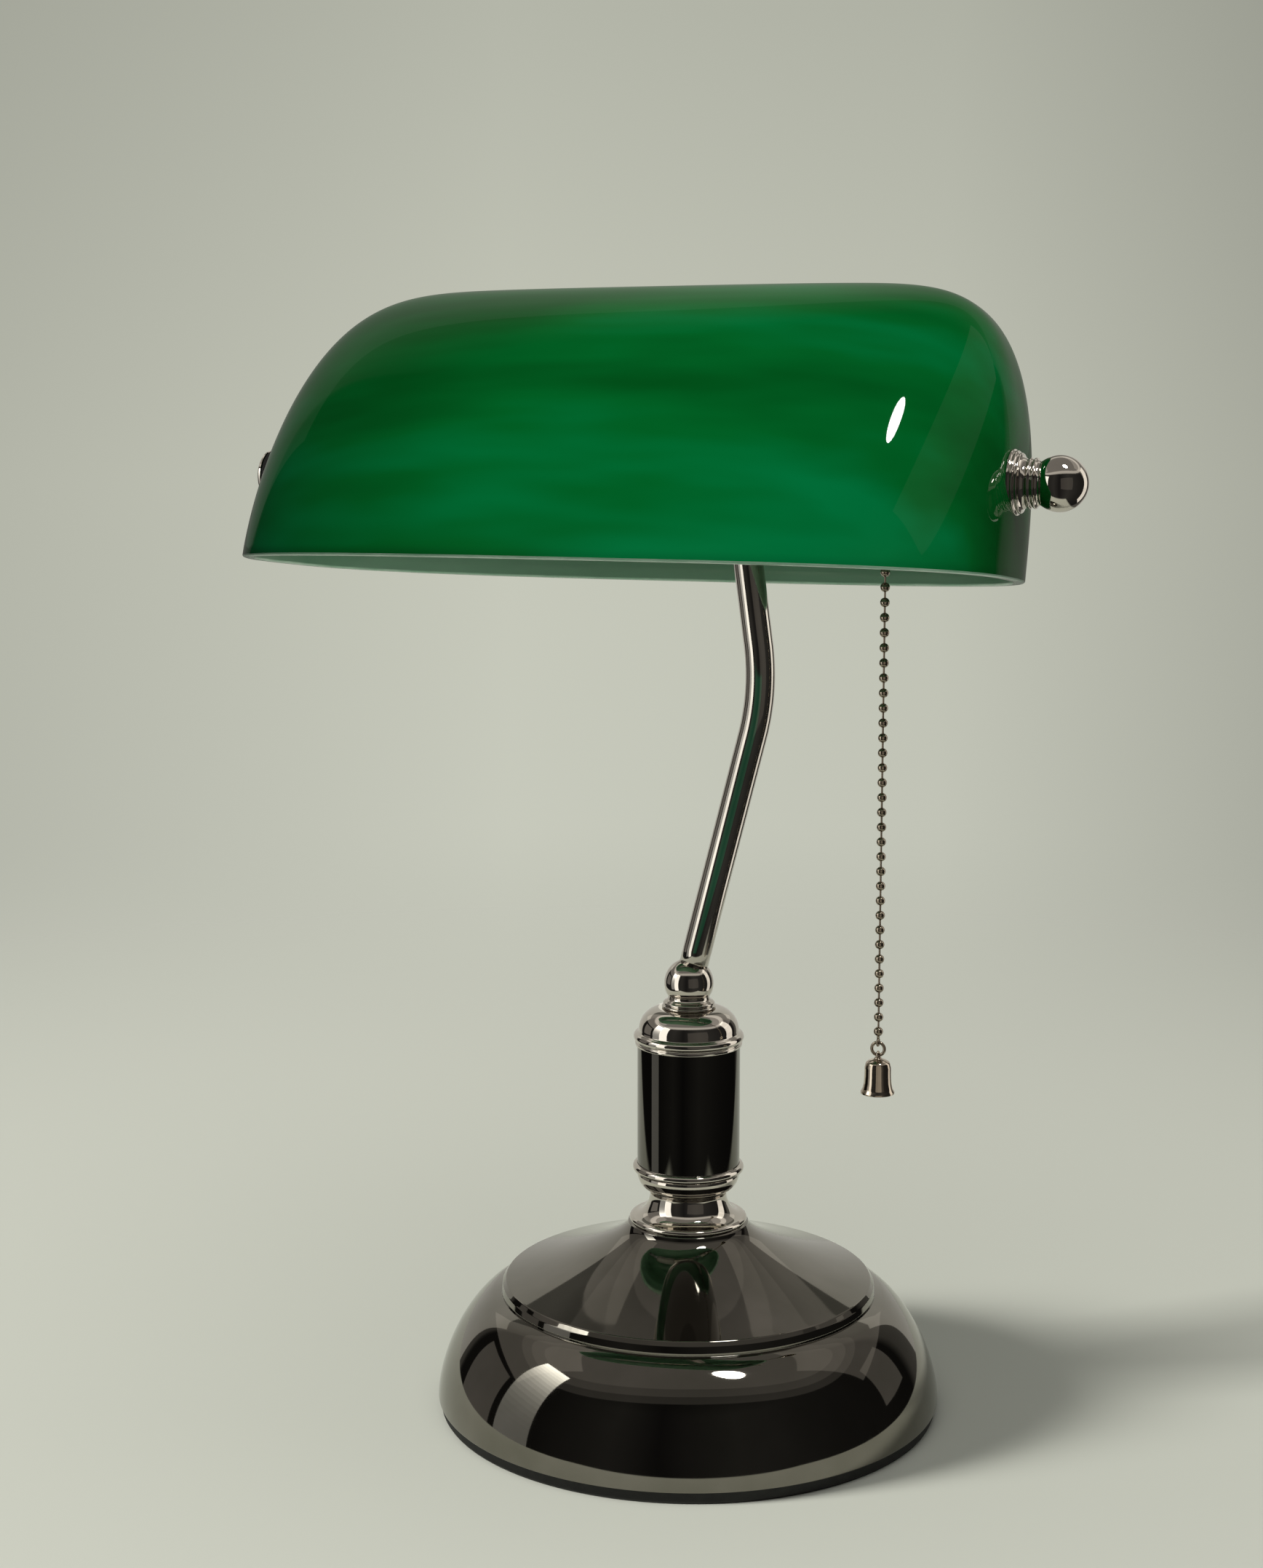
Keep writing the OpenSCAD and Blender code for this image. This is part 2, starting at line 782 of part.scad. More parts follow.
module bell() {
    wall = 0.7;
    side = [
        [1.2, 0], [3, -0.35], [4.1, -1.4], [4.5, -3], [4.55, -6], [4.7, -8.4], [5.1, -10.2],
        [5.75, -11.4], [5.75, -bell_h]
    ];
    color("silver") translate([chain_x, 0, bell_top]) {
        rotate_extrude() polygon(concat(
            [[0, 0.6], [1.2, 0.5]],
            side,
            [[5.1, -bell_h]],
            reversed([for (p = side) if (p.x > 2.9 && p.y > -11) p - [wall, 0.6]]),
            [[0, -0.9]]
        ));
        translate([0, 0, eye_R + 0.2]) rotate([0, 90, 0])
            rotate_extrude($fn = 32) translate([eye_R, 0]) circle(r = 0.4, $fn = 24);
    }
}

// ---- wiring ----

// From the gland along the weight's channel and up inside the tie rod
module wiring_lower() {
    low = 11;
    bend = 8;
    color("gold") swept(concat(
        [[0, 66, 14], [0, 55, 12.5], [0, 40, low], [0, 15, low]],
        [for (a = [0:15:90]) [0, bend * (1 - sin(a)), low + bend * (1 - cos(a))]],
        [[0, 0, 60], [0, 0, ball_z - 8]]
    ), 2);
}

// Up the stem's centre line and into the hub
module wiring_upper() {
    color("gold") swept(stem_path(5, high_len + 7, 5), 2);
}

rubber_foot();
bottom_plate();
base_weight();
base_shell();
cord_gland();
lock_nut();
lock_washer();
tie_rod();
pedestal();
tube_cup();
column_tube();
column_cap();
neck_ring();
swivel_ball();
ball_grub_screw();
stem_tube();
hub();
hub_set_screw();
yoke();
yoke_screw();
shade_studs();
glass_shade();
shade_bushes();
inner_washers();
outer_washers();
end_nut();
knob_right();
socket_nipple();
socket_cap();
socket_shell();
socket_liner();
socket_block();
screw_shell();
centre_contact();
bulb_glass();
bulb_base();
bulb_filaments();
switch_nipple();
switch_housing();
switch_cover();
switch_contacts();
chain_guide();
pull_plunger();
return_spring();
chain_coupling();
bead_chain();
end_ring();
bell();
wiring_lower();
wiring_upper();
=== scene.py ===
import json
import math

import bmesh
import bpy
import numpy as np
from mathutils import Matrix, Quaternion, Vector


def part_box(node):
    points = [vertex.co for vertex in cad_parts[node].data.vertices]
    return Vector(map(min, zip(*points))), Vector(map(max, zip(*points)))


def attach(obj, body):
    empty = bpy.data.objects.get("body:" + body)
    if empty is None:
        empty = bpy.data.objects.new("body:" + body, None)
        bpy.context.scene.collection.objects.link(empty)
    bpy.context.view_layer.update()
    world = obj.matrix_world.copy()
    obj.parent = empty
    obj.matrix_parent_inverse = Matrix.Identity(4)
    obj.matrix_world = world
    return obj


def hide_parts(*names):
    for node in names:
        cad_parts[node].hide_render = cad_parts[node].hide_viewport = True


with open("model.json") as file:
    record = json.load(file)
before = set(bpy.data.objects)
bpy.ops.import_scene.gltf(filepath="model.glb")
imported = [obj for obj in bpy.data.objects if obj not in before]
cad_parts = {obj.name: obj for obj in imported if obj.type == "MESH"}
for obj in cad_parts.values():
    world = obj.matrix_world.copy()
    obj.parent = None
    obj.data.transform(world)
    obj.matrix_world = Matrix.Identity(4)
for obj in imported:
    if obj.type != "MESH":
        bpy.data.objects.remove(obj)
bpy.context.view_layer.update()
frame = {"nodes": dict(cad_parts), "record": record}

mm = 0.001
studio = {"turn": 21.47, "pitch": 8.43, "camera": (-19.9, -827.1, 343.1), "focal": 56.1}


# ---- small tools ----

def linear(hexColour):  # sRGB hex to linear colour with alpha
    channels = [int(hexColour[i:i + 2], 16) / 255 for i in (1, 3, 5)]
    return tuple(c / 12.92 if c <= 0.04045 else ((c + 0.055) / 1.055) ** 2.4 for c in channels) + (1.0,)


def addNode(tree, kind, values=None, links=None, **settings):  # one node with its settings and links
    node = tree.nodes.new("ShaderNode" + kind)
    for name, value in settings.items():
        setattr(node, name, value)
    for socket, value in (values or {}).items():
        node.inputs[socket].default_value = value
    for socket, source in (links or {}).items():
        tree.links.new(source, node.inputs[socket])
    return node


def newMaterial(name, values):  # a Principled material with Object coordinates at hand
    material = bpy.data.materials.new(name)
    material.use_nodes = True
    tree = material.node_tree
    shader = tree.nodes["Principled BSDF"]
    for socket, value in values.items():
        shader.inputs[socket].default_value = value
    place = addNode(tree, "TexCoord").outputs["Object"]
    return material, tree, shader, place


def grain(tree, place, sizeMm, detail=3.0, roughness=0.5, stretch=(1, 1, 1)):  # noise of a real size
    mapped = addNode(tree, "Mapping", {"Scale": stretch}, {"Vector": place}).outputs["Vector"]
    values = {"Scale": 1 / (sizeMm * mm), "Detail": detail, "Roughness": roughness}
    return addNode(tree, "TexNoise", values, {"Vector": mapped}).outputs["Fac"]


def blendColours(tree, factor, low, high, fromMin=0.35, fromMax=0.65):  # two colours by a noise value
    ramp = addNode(tree, "ValToRGB", {}, {"Fac": factor})
    ramp.color_ramp.elements[0].position = fromMin
    ramp.color_ramp.elements[0].color = linear(low)
    ramp.color_ramp.elements[1].position = fromMax
    ramp.color_ramp.elements[1].color = linear(high)
    return ramp.outputs["Color"]


def spread(tree, factor, low, high, fromMin=0.3, fromMax=0.7):  # a noise value to a range of numbers
    values = {"From Min": fromMin, "From Max": fromMax, "To Min": low, "To Max": high}
    return addNode(tree, "MapRange", values, {"Value": factor}).outputs["Result"]


def addBump(tree, shader, height, depthMm, strength=1.0):  # relief of a real depth
    values = {"Strength": strength, "Distance": depthMm * mm}
    bump = addNode(tree, "Bump", values, {"Height": height})
    tree.links.new(bump.outputs["Normal"], shader.inputs["Normal"])


# ---- materials ----

def mirrorMetal(name, low, high, roughLow, roughHigh, waveMm=14.0, waveDepthMm=0.012):
    # buffed plate: clear reflections that wander a little, a faint haze of polish and handling
    material, tree, shader, place = newMaterial(name, {"Metallic": 1.0})
    tone = blendColours(tree, grain(tree, place, 22, 4), low, high)
    tree.links.new(tone, shader.inputs["Base Color"])
    haze = spread(tree, grain(tree, place, 9, 6, 0.62), roughLow, roughHigh)
    tree.links.new(haze, shader.inputs["Roughness"])
    addBump(tree, shader, grain(tree, place, waveMm, 1.5), waveDepthMm)
    return material


def casedGlass(name):  # emerald glass over a pale layer: gloss skin, cloudy streaks below it, and painted shade at both ends
    material, tree, shader, place = newMaterial(name, {"Roughness": 0.02, "IOR": 1.5})
    streaks = grain(tree, place, 42, 3, 0.55, stretch=(0.22, 1, 1))
    clouds = grain(tree, place, 90, 2, 0.4, stretch=(0.6, 1, 1))
    mixed = addNode(tree, "Math", {}, {0: streaks, 1: clouds}, operation="ADD").outputs[0]
    depth = addNode(tree, "Math", {1: 0.5}, {0: mixed}, operation="MULTIPLY").outputs[0]
    ramp = addNode(tree, "ValToRGB", {}, {"Fac": depth})
    ramp.color_ramp.elements[0].position = 0.4
    ramp.color_ramp.elements[0].color = linear("#006a24")
    ramp.color_ramp.elements[1].position = 0.6
    ramp.color_ramp.elements[1].color = linear("#009e56")
    middle = ramp.color_ramp.elements.new(0.5)
    middle.color = linear("#008436")
    # painted shade: the colour darkens towards both ends, most at the left end, standing in for the shade
    # that falls there
    x = addNode(tree, "SeparateXYZ", {}, {0: place}).outputs["X"]
    shares = []
    for first, last, darkest in ((-0.17, -0.035, 0.45), (0.115, 0.0, 0.72)):
        limits = {"From Min": first, "From Max": last, "To Min": darkest, "To Max": 1.0}
        share = addNode(tree, "MapRange", limits, {"Value": x}, interpolation_type="SMOOTHSTEP")
        shares.append(share.outputs["Result"])
    paintedEndLight = addNode(tree, "Math", {}, {0: shares[0], 1: shares[1]}, operation="MULTIPLY").outputs[0]
    tone = addNode(tree, "Mix", {"A": linear("#003010")}, {"Factor": paintedEndLight, "B": ramp.outputs["Color"]},
                   data_type="RGBA").outputs["Result"]
    tree.links.new(tone, shader.inputs["Base Color"])
    return material


def opalLining(name):  # the pale inner layer, fire-polished: milky, with the green showing through
    values = {"Roughness": 0.12, "IOR": 1.5}
    material, tree, shader, place = newMaterial(name, values)
    tone = blendColours(tree, grain(tree, place, 50, 3, stretch=(0.4, 1, 1)), "#8fbf9f", "#a3cdb0")
    tree.links.new(tone, shader.inputs["Base Color"])
    return material


def groundLip(name):  # the rim's edge, ground and polished: a thin pale line
    values = {"Roughness": 0.1, "IOR": 1.5, "Coat Weight": 0.4}
    material, tree, shader, place = newMaterial(name, values)
    tone = blendColours(tree, grain(tree, place, 12, 3), "#a4d8b6", "#c4ecd0")
    tree.links.new(tone, shader.inputs["Base Color"])
    return material


def mouldedRubber(name):  # soft matt rubber with a fine pitted skin
    material, tree, shader, place = newMaterial(name, {"Roughness": 0.62, "IOR": 1.5})
    tone = blendColours(tree, grain(tree, place, 4, 5), "#0f0f0e", "#1d1d1b")
    tree.links.new(tone, shader.inputs["Base Color"])
    addBump(tree, shader, grain(tree, place, 0.5, 3), 0.03)
    return material


def mouldedPlastic(name, low, high, roughness):  # injection-moulded plastic with a faint spark grain
    material, tree, shader, place = newMaterial(name, {"Roughness": roughness, "IOR": 1.49})
    tree.links.new(blendColours(tree, grain(tree, place, 6, 4), low, high), shader.inputs["Base Color"])
    addBump(tree, shader, grain(tree, place, 0.35, 2), 0.01)
    return material


def platedSteel(name, low, high):  # zinc-plated steel: satin, with small spangles and dull spots
    material, tree, shader, place = newMaterial(name, {"Metallic": 1.0})
    tree.links.new(blendColours(tree, grain(tree, place, 3, 5), low, high), shader.inputs["Base Color"])
    tree.links.new(spread(tree, grain(tree, place, 1.5, 4), 0.22, 0.42), shader.inputs["Roughness"])
    addBump(tree, shader, grain(tree, place, 0.4, 3), 0.004)
    return material


def castIron(name):  # painted rough casting
    material, tree, shader, place = newMaterial(name, {"Roughness": 0.7})
    tone = blendColours(tree, grain(tree, place, 5, 6), "#1c1c1e", "#37373a")
    tree.links.new(tone, shader.inputs["Base Color"])
    addBump(tree, shader, grain(tree, place, 1.2, 6, 0.6), 0.2)
    return material


def rolledBrass(name):  # plain brass strip, lightly tarnished
    material, tree, shader, place = newMaterial(name, {"Metallic": 1.0})
    tone = blendColours(tree, grain(tree, place, 7, 5), "#a8823c", "#d8b366")
    tree.links.new(tone, shader.inputs["Base Color"])
    tree.links.new(spread(tree, grain(tree, place, 2, 4), 0.2, 0.38), shader.inputs["Roughness"])
    return material


def frostedGlass(name):  # etched bulb glass: milky and soft, brighter at its edge
    values = {"Roughness": 0.35, "IOR": 1.5, "Transmission Weight": 0.35, "Coat Weight": 0.3}
    material, tree, shader, place = newMaterial(name, values)
    tone = blendColours(tree, grain(tree, place, 8, 4), "#dfded6", "#f1f0ea")
    tree.links.new(tone, shader.inputs["Base Color"])
    addBump(tree, shader, grain(tree, place, 0.3, 2), 0.004)
    return material


def fibreBoard(name):  # brown insulating fibre with short hairs in it
    material, tree, shader, place = newMaterial(name, {"Roughness": 0.8})
    hairs = grain(tree, place, 2.5, 5, 0.7, stretch=(0.3, 1, 1))
    tree.links.new(blendColours(tree, hairs, "#4a2c17", "#8a5c35"), shader.inputs["Base Color"])
    addBump(tree, shader, hairs, 0.03)
    return material


finishes = {
    "base_nickel": mirrorMetal("blackNickelMirror", "#7c7970", "#86827a", 0.025, 0.055),
    "fitting_nickel": mirrorMetal("polishedNickel", "#c0bab0", "#cec8be", 0.025, 0.05, 8.0, 0.004),
    "stem_nickel": mirrorMetal("polishedNickelTube", "#b9b4ab", "#cbc6bc", 0.04, 0.09, 10.0, 0.004),
    "tube_nickel": mirrorMetal("blackNickelTube", "#68665f", "#6f6c65", 0.02, 0.04, 30.0, 0.002),
    "green_glass": casedGlass("emeraldCasedGlass"),
    "black_rubber": mouldedRubber("blackMouldedRubber"),
    "black_nylon": mouldedPlastic("blackNylonMoulding", "#111111", "#1d1d1d", 0.4),
    "natural_nylon": mouldedPlastic("naturalNylonMoulding", "#cfc8b5", "#ddd7c6", 0.45),
    "zinc_steel": platedSteel("zincPlatedSteel", "#a3a5a8", "#c2c3c4"),
    "cast_iron": castIron("paintedCastIron"),
    "raw_brass": rolledBrass("rolledBrassStrip"),
    "fibre_board": fibreBoard("brownInsulatingFibre"),
    "phenolic": mouldedPlastic("darkPhenolicMoulding", "#1d120c", "#2c1c12", 0.25),
    "frosted_bulb": frostedGlass("etchedBulbGlass"),
    "bulb_aluminium": platedSteel("rolledBulbAluminium", "#c2c2c3", "#d9d9da"),
    "filament_sticks": mouldedPlastic("yellowPhosphorSticks", "#d9a63c", "#e8bd5a", 0.6),
    "chain_nickel": mirrorMetal("darkWarmNickel", "#8a8071", "#a69b8a", 0.1, 0.2, 3.0, 0.002),
    "bell_nickel": mirrorMetal("warmPolishedNickel", "#b3a796", "#c8bdac", 0.06, 0.14, 4.0, 0.003),
    "cable_sheath": mouldedPlastic("brownCableSheath", "#6b5426", "#806534", 0.4),
    "spring_steel": platedSteel("drawnSpringWire", "#8f9194", "#a9abad"),
}
lining = opalLining("opalGlassLining")
lip = groundLip("groundGlassLip")

for part in frame["record"]["subparts"]:
    mesh = frame["nodes"][part["node"]].data
    mesh.materials.clear()
    mesh.materials.append(finishes[part["material_slot"]])
print("materials made and given to the CAD nodes")


# ---- surface tools ----

def gridMesh(name, grid, wrapRows=False, wrapColumns=True):
    # grid[row, column] holds points; neighbours are joined into quads that face row x column
    rows, columns = grid.shape[:2]
    i = np.arange(rows if wrapRows else rows - 1)
    j = np.arange(columns if wrapColumns else columns - 1)
    i, j = np.meshgrid(i, j, indexing="ij")
    nextI, nextJ = (i + 1) % rows, (j + 1) % columns
    quads = np.stack([i * columns + j, i * columns + nextJ, nextI * columns + nextJ, nextI * columns + j], -1)
    mesh = bpy.data.meshes.new(name)
    mesh.from_pydata(grid.reshape(-1, 3).tolist(), [], quads.reshape(-1, 4).tolist())
    return mesh


def addPiece(name, mesh, slot, body, replaced=(), mergeMm=0.0005):  # poles merged, smooth, riding a body
    joined = bmesh.new()
    joined.from_mesh(mesh)
    bmesh.ops.remove_doubles(joined, verts=joined.verts, dist=mergeMm * mm)
    joined.to_mesh(mesh)
    joined.free()
    mesh.shade_smooth()
    if not mesh.materials:
        mesh.materials.append(finishes[slot])
    piece = bpy.data.objects.new(name, mesh)
    bpy.context.scene.collection.objects.link(piece)
    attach(piece, body)
    if replaced:
        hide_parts(*replaced)
    return piece


def arcLine(centre, radius, start, end, steps=14):  # points on a circle's arc, in degrees
    a = np.radians(np.linspace(start, end, steps))
    return np.stack([centre[0] + radius * np.cos(a), centre[1] + radius * np.sin(a)], -1)


def ovalLine(centre, halfWidth, halfHeight, start, end, steps=24):  # points on an ellipse's arc
    a = np.radians(np.linspace(start, end, steps))
    return np.stack([centre[0] + halfWidth * np.cos(a), centre[1] + halfHeight * np.sin(a)], -1)


def roundedLine(corners, steps=6, hold=0.12):
    # corners are (across, along, radius); each becomes an arc tangent to its two sides, with a
    # point held close outside each end so that flats stay flat
    points = np.array([c[:2] for c in corners], float)
    line = [points[0]]
    for k in range(1, len(points) - 1):
        before, here, after = points[k - 1:k + 2]
        u, v = before - here, after - here
        lu, lv = np.linalg.norm(u), np.linalg.norm(v)
        u, v = u / lu, v / lv
        half = math.acos(np.clip(u @ v, -1, 1)) / 2
        radius = corners[k][2]
        if radius <= 0 or half > 1.55:
            line.append(here)
            continue
        reach = min(radius / math.tan(half), 0.45 * lu, 0.45 * lv)
        radius = reach * math.tan(half)
        middle = here + (u + v) / np.linalg.norm(u + v) * radius / math.sin(half)
        first, last = here + u * reach - middle, here + v * reach - middle
        turn = math.atan2(first[0] * last[1] - first[1] * last[0], first @ last)
        line.append(here + u * min(reach + hold, 0.48 * lu))
        for a in np.linspace(0, turn, steps):
            c, s = math.cos(a), math.sin(a)
            line.append(middle + np.array([first[0] * c - first[1] * s, first[0] * s + first[1] * c]))
        line.append(here + v * min(reach + hold, 0.48 * lv))
    line.append(points[-1])
    return np.array(line)


def revolved(outline, segments, axis="z"):
    # outline rows are (radius, distance along the axis); the grid turns them once round the axis
    a = np.linspace(0, 2 * math.pi, segments, endpoint=False)
    r, d = outline[:, 0][:, None], outline[:, 1][:, None]
    c, s, d = r * np.cos(a), r * np.sin(a), d + 0 * a
    return np.stack([c, s, d] if axis == "z" else [d, c, s], -1)


def turnedPiece(name, node, outline, slot, body, segments=160, closed=True):
    # an outline drawn in mm from the piece's own foot, set on its node's foot and axis
    low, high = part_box(node)
    grid = revolved(outline * mm, segments)
    grid[..., 0] += (low.x + high.x) / 2
    grid[..., 1] += (low.y + high.y) / 2
    grid[..., 2] += low.z
    return addPiece(name, gridMesh(name, grid, wrapRows=closed), slot, body, [node])


# ---- base ----

low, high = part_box("base_shell")
base = {
    "rim": (high.x - low.x) / 2 / mm,  # radius at the foot of the dome
    "foot": low.z / mm,
    "top": high.z / mm,
    "step": 66.2,  # radius where the raised centre ends
    "stepHeight": 41.0,
    "curve": (1.6, 1.547),  # powers of the dome's fall
    "wall": 1.4,
}


def baseOutline():
    # dome: as it falls by w its radius grows as (1-(1-w)^p)^(1/q), so it ends upright at the foot;
    # band: a short slope with a crisp upper edge; centre: radius grows as u^1.6 as it falls by u
    p, q = base["curve"]
    w = 1 - np.linspace(0, 1, 80) ** 1.5
    rise, lowest = base["rim"] - base["step"], base["foot"] + 0.45
    dome = np.stack([base["step"] + rise * (1 - (1 - w) ** p) ** (1 / q),
                     base["stepHeight"] - (base["stepHeight"] - lowest) * w], -1)
    u = np.linspace(0, 1, 50)
    centre = np.stack([21 + (base["step"] - 23.7) * u ** 1.6, base["top"] - 20.1 * u], -1)[::-1]
    step, level = base["step"], base["stepHeight"]
    band = roundedLine([
        (step + 0.3, level - 0.01, 0), (step - 0.5, level + 0.15, 0.15), (step - 0.45, level + 1.2, 0.6),
        (step - 1.0, level + 3.2, 1.2), (step - 2.2, level + 4.75, 0.9), (centre[1, 0], centre[1, 1], 0)
    ])[1:-1]
    rim = arcLine((base["rim"] - 0.45, base["foot"] + 0.45), 0.45, -90, -4, 10)
    return np.concatenate([rim, dome, band, centre[1:]])


outer = baseOutline()
along = np.gradient(outer, axis=0)
along /= np.linalg.norm(along, axis=1)[:, None]
inner = outer + base["wall"] * np.stack([-along[:, 1], along[:, 0]], -1)
inner = inner[inner[:, 1] > base["foot"] + 1.7][::-1]
land = np.array([[5.0, base["top"]], [5.0, base["top"] - base["wall"]]])
shell = np.concatenate([outer, land, inner]) - [0, base["foot"]]
turnedPiece("baseShell", "base_shell", shell, "base_nickel", "base", 256)

low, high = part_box("rubber_foot")
footR, footH = (high.x - low.x) / 2 / mm, high.z / mm
foot = roundedLine([
    (footR - 11.2, 0.6, 0), (footR - 10.6, 0, 0.4), (footR - 0.6, 0, 0.5), (footR, 0.9, 0.5),
    (footR - 0.1, footH, 0.3), (footR - 11.2, footH, 0.2), (footR - 11.2, 0.7, 0)
])
turnedPiece("rubberFoot", "rubber_foot", foot, "black_rubber", "base", 200)
print("base made")


# ---- column ----

bore = 5.0
pedestal = np.concatenate([
    [(bore, 0), (19.6, 0)],
    arcLine((19.5, 1.1), 1.05, -70, 78, 16),
    ovalLine((20, 10), 6.6, 7.8, 267, 181, 30),
    roundedLine([(13.4, 10.0, 0), (13.4, 10.2, 0.2), (12.7, 10.4, 0.1), (bore, 10.4, 0)])[1:],
])
turnedPiece("turnedCollar", "pedestal", pedestal, "fitting_nickel", "base")

low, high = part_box("column_tube")
tubeR, tubeLength = (high.x - low.x) / 2 / mm, (high.z - low.z) / mm
cup = np.concatenate([
    roundedLine([(bore, 0, 0), (12.9, 0, 0.15), (13.1, 0.7, 0.2), (14, 0.9, 0.25), (15, 1.7, 0)])[:-1],
    ovalLine((12.6, 7), 5.2, 6, -60, -2, 24),
    [(tubeR - 0.42, 7.3), (tubeR - 0.4, 7.5)],
    arcLine((tubeR, 9.1), 1.5, -78, 88, 20),
    roundedLine([(tubeR + 0.1, 10.6, 0), (tubeR + 0.1, 8, 0), (bore, 8, 0), (bore, 0.2, 0)]),
])
turnedPiece("tubeCup", "tube_cup", cup, "fitting_nickel", "base")

tube = roundedLine([
    (tubeR - 1.5, 0.1, 0), (tubeR - 1.4, 0, 0.1), (tubeR, 0, 0.2), (tubeR, tubeLength, 0.2),
    (tubeR - 1.5, tubeLength, 0.1), (tubeR - 1.5, 0.2, 0)
])
turnedPiece("columnTube", "column_tube", tube, "tube_nickel", "base")

cap = np.concatenate([
    roundedLine([
        (tubeR + 0.1, 0, 0), (tubeR + 0.65, 0.02, 0.2), (tubeR + 0.75, 0.9, 0.3), (tubeR + 0.35, 1.2, 0)
    ]),
    arcLine((tubeR - 0.3, 3), 1.6, -62, 66, 20),
    [(tubeR - 0.42, 4.7), (tubeR - 0.5, 4.95)],
    ovalLine((9.5, 5.2), 7.9, 7.9, 3, 90, 30),
    [(4.9, 13.1), (4.9, 11.3)],
    ovalLine((9.5, 5), 6.2, 6.2, 90, 0, 12),
    [(15.7, 1.6), (tubeR + 0.1, 1.6)],
])
turnedPiece("columnCap", "column_cap", cap, "fitting_nickel", "base")

neck = np.concatenate([
    [(4.9, 0), (8.9, 0)],
    arcLine((8.85, 0.55), 0.5, -72, 76, 12),
    [(8.72, 1.14)],
    arcLine((8.45, 1.75), 0.5, -72, 80, 12),
    ovalLine((9.3, 4.3), 2.25, 2, 248, 182, 18),
    [(7.0, 4.3), (4.9, 4.3)],
])
turnedPiece("neckRing", "neck_ring", neck, "fitting_nickel", "base")
print("column made")


# ---- swivel ball and stem ----

low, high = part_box("swivel_ball")
ballR = (high.x - low.x) / 2
ballZ = high.z - ballR
flat = low.z - ballZ  # the ball's flat foot, from its centre
ballOutline = np.concatenate([
    [(0, flat), (math.sqrt(ballR ** 2 - flat ** 2), flat)],
    arcLine((0, 0), ballR, math.degrees(math.asin(flat / ballR)), 90, 60),
])
grid = revolved(ballOutline, 128)
grid[..., 2] += ballZ
addPiece("swivelBall", gridMesh("swivelBall", grid), "fitting_nickel", "stem", ["swivel_ball"])

stem = {
    "radius": 5.0 * mm, "bore": 4.0 * mm, "leanLow": 14.5, "leanHigh": 7.9,
    "bendStart": 87.4 * mm, "bendR": 80 * mm, "seat": 4.6 * mm,
}
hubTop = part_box("stem_tube")[1].z


def stemLine(steps=64):
    # a straight leg leaning right, an arc that turns it to lean left, and a straight leg to the hub
    a, b = math.radians(stem["leanLow"]), math.radians(stem["leanHigh"])
    c = np.array([stem["bendStart"] * math.tan(a) - stem["bendR"] * math.cos(a), 0,
                  ballZ + stem["bendStart"] + stem["bendR"] * math.sin(a)])
    t = np.linspace(a, -b, steps)
    bend = c + stem["bendR"] * np.stack([np.cos(t), 0 * t, -np.sin(t)], -1)
    first = np.array([stem["seat"] * math.sin(a), 0, ballZ + stem["seat"] * math.cos(a)])
    rise = hubTop - bend[-1, 2] - stem["radius"] * math.sin(b)
    last = bend[-1] + rise * np.array([-math.tan(b), 0, 1])
    return np.concatenate([np.linspace(first, bend[0], 12)[:-1], bend, np.linspace(bend[-1], last, 8)[1:]])


def tubeAlong(path, radius, sides):
    # rings square to a path that stays in the XZ plane: across is Y, the other way is in the plane
    d = np.gradient(path, axis=0)
    d /= np.linalg.norm(d, axis=1)[:, None]
    across = np.array([0.0, 1.0, 0.0])
    side = np.cross(across, d)
    a = np.linspace(0, 2 * math.pi, sides, endpoint=False)[None, :, None]
    return path[:, None, :] + radius * (side[:, None, :] * np.cos(a) + across * np.sin(a))


path = stemLine()
skin = tubeAlong(path, stem["radius"], 72)
boreSkin = tubeAlong(path, stem["bore"], 72)
grid = np.concatenate([skin, boreSkin[::-1]])
addPiece("stemTube", gridMesh("stemTube", grid, wrapRows=True), "stem_nickel", "stem", ["stem_tube"])
print("stem made")


# ---- glass shade ----

shade = {
    "length": 268.0, "width": 146.0, "height": 100.3, "wall": 3.6, "axisUp": 30.2, "offset": -25.5,
    "tilt": 6.2, "lean": 0.336, "leanPower": 1.11, "plan": 2.93, "end": (2.47, 8.3), "side": (1.72, 1.95),
}
studLow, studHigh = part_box("shade_studs")
tiltAxisZ = (studLow.z + studHigh.z) / 2
shadeX = (studLow.x + studHigh.x) / 2


def shadeSkin(inset, rings, sides):
    # each ring is a superellipse; half-length and half-width shrink to nothing at the top by
    # (1-t^n)^(1/m), and the middle leans to the rear by t to a power
    t = 1 - (1 - np.linspace(0, 1, rings)) ** 2.6
    t = np.minimum(t, 0.99996)[:, None]
    halfLength = (shade["length"] / 2 - inset) * (1 - t ** shade["end"][0]) ** (1 / shade["end"][1])
    halfWidth = (shade["width"] / 2 - inset) * (1 - t ** shade["side"][0]) ** (1 / shade["side"][1])
    a = np.linspace(0, 2 * math.pi, sides, endpoint=False)
    c, s = np.cos(a), np.sin(a)
    x = halfLength * np.sign(c) * np.abs(c) ** (2 / shade["plan"])
    y = halfWidth * np.sign(s) * np.abs(s) ** (2 / shade["plan"])
    y = y + shade["lean"] * shade["height"] * t ** shade["leanPower"]
    return np.stack([x, y, (shade["height"] - inset) * t + 0 * a], -1)


def shadeGrid():
    # inner skin from the top down, a half-round lip, then the outer skin up to the top
    outerSkin = shadeSkin(0, 90, 240)
    innerSkin = shadeSkin(shade["wall"], 60, 240)[::-1]
    a = np.radians(np.linspace(0, 180, 9))[1:-1, None, None]
    middle = (outerSkin[0] + innerSkin[-1]) / 2
    half = (innerSkin[-1] - outerSkin[0]) / 2
    drop = np.array([0, 0, -0.9])
    lipRows = middle + half * np.cos(a) + drop * np.sin(a)
    rows = np.concatenate([innerSkin, lipRows, outerSkin])
    return rows, len(innerSkin), len(innerSkin) + len(lipRows)


